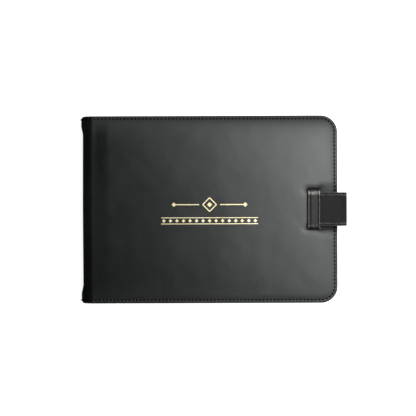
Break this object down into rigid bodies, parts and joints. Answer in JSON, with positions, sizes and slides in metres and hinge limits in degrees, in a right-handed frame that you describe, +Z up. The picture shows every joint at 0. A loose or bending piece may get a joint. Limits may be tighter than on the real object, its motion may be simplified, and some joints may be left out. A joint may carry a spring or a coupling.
{
  "type": "flight crew logbook",
  "caption": "Landscape logbook in a padded leather cover with a round spine, closed by a leather strap under a keeper loop; the cover, page sections and strap move.",
  "frame": {"origin": "middle of the back cover's resting face, between the spine's and the fore-edge's outermost lines", "axes": "+X from the spine to the fore-edge, +Y from the tail to the head, +Z up through the front cover"},
  "size_m": [0.2504, 0.176, 0.025],
  "materials": {
    "cover_leather": "satin",
    "strap_leather": "satin",
    "lining": "matte",
    "thread": "matte",
    "foam": "matte",
    "board": "matte",
    "paper": "matte",
    "endpaper": "matte",
    "mull": "matte",
    "headband": "matte",
    "foil": "satin"
  },
  "bodies": {
    "back_cover": {"back_leather": "cover_leather", "back_foam": "foam", "back_board": "board", "back_lining": "lining", "back_stitching": "thread", "tab_anchor": "strap_leather", "spine_leather": "cover_leather", "spine_stiffener": "board", "spine_mull": "mull", "headband_head": "headband", "headband_tail": "headband", "binding_thread": "thread"},
    "front_cover": {"front_leather": "cover_leather", "front_foam": "foam", "front_board": "board", "front_lining": "lining", "front_stitching": "thread", "foil_ornament": "foil", "foil_band": "foil", "keeper_loop": "strap_leather", "keeper_stitching": "thread"},
    "section_1": {"endpaper_back": "endpaper", "page_section_1": "paper"},
    "section_2": {"page_section_2": "paper"},
    "section_3": {"page_section_3": "paper"},
    "section_4": {"page_section_4": "paper"},
    "leaf": {"turning_leaf": "paper"},
    "section_5": {"page_section_5": "paper"},
    "section_6": {"page_section_6": "paper"},
    "section_7": {"page_section_7": "paper"},
    "section_8": {"page_section_8": "paper", "endpaper_front": "endpaper"},
    "tab_web": {"tab_web_leather": "strap_leather", "tab_web_lining": "strap_leather", "tab_web_stitching": "thread"},
    "tab_flap": {"tab_flap_leather": "strap_leather", "tab_flap_lining": "strap_leather", "tab_flap_stitching": "thread"}
  },
  "joints": [
    {"name": "cover_open", "type": "hinge", "parent": "back_cover", "child": "front_cover", "pos_m": [-0.11, 0, 0.01], "axis": [0, -1, 0], "range_deg": [0, 178.7], "deforming": ["spine_leather", "spine_stiffener", "spine_mull", "headband_head", "headband_tail", "binding_thread"]},
    {"name": "section_1_turn", "type": "hinge", "parent": "back_cover", "child": "section_1", "pos_m": [-0.11, 0, 0.01], "axis": [0, -1, 0], "range_deg": [0, 180]},
    {"name": "section_2_turn", "type": "hinge", "parent": "back_cover", "child": "section_2", "pos_m": [-0.11, 0, 0.01], "axis": [0, -1, 0], "range_deg": [0, 180]},
    {"name": "section_3_turn", "type": "hinge", "parent": "back_cover", "child": "section_3", "pos_m": [-0.11, 0, 0.01], "axis": [0, -1, 0], "range_deg": [0, 180]},
    {"name": "section_4_turn", "type": "hinge", "parent": "back_cover", "child": "section_4", "pos_m": [-0.11, 0, 0.01], "axis": [0, -1, 0], "range_deg": [0, 180]},
    {"name": "leaf_turn", "type": "hinge", "parent": "back_cover", "child": "leaf", "pos_m": [-0.11, 0, 0.01], "axis": [0, -1, 0], "range_deg": [0, 180]},
    {"name": "section_5_turn", "type": "hinge", "parent": "back_cover", "child": "section_5", "pos_m": [-0.11, 0, 0.01], "axis": [0, -1, 0], "range_deg": [0, 180]},
    {"name": "section_6_turn", "type": "hinge", "parent": "back_cover", "child": "section_6", "pos_m": [-0.11, 0, 0.01], "axis": [0, -1, 0], "range_deg": [0, 180]},
    {"name": "section_7_turn", "type": "hinge", "parent": "back_cover", "child": "section_7", "pos_m": [-0.11, 0, 0.01], "axis": [0, -1, 0], "range_deg": [0, 180]},
    {"name": "section_8_turn", "type": "hinge", "parent": "back_cover", "child": "section_8", "pos_m": [-0.11, 0, 0.01], "axis": [0, -1, 0], "range_deg": [0, 180]},
    {"name": "tab_web_bend", "type": "hinge", "parent": "back_cover", "child": "tab_web", "pos_m": [0.1196, 0, 0.0032], "axis": [0, 1, 0], "range_deg": [0, 30], "deforming": ["tab_web_leather", "tab_web_lining", "tab_web_stitching"]},
    {"name": "tab_flap_bend", "type": "hinge", "parent": "tab_web", "child": "tab_flap", "pos_m": [0.12905, 0, 0.01265], "axis": [0, 1, 0], "range_deg": [0, 110], "deforming": ["tab_flap_leather", "tab_flap_lining", "tab_flap_stitching"]}
  ],
  "couplings": [
    {"joint": "section_1_turn", "follows": "cover_open", "ratio": 0.002},
    {"joint": "section_2_turn", "follows": "cover_open", "ratio": 0.004},
    {"joint": "section_3_turn", "follows": "cover_open", "ratio": 0.007},
    {"joint": "section_4_turn", "follows": "cover_open", "ratio": 0.01},
    {"joint": "leaf_turn", "follows": "cover_open", "ratio": 0.93},
    {"joint": "section_5_turn", "follows": "cover_open", "ratio": 0.99},
    {"joint": "section_6_turn", "follows": "cover_open", "ratio": 0.993},
    {"joint": "section_7_turn", "follows": "cover_open", "ratio": 0.996},
    {"joint": "section_8_turn", "follows": "cover_open", "ratio": 0.998}
  ]
}
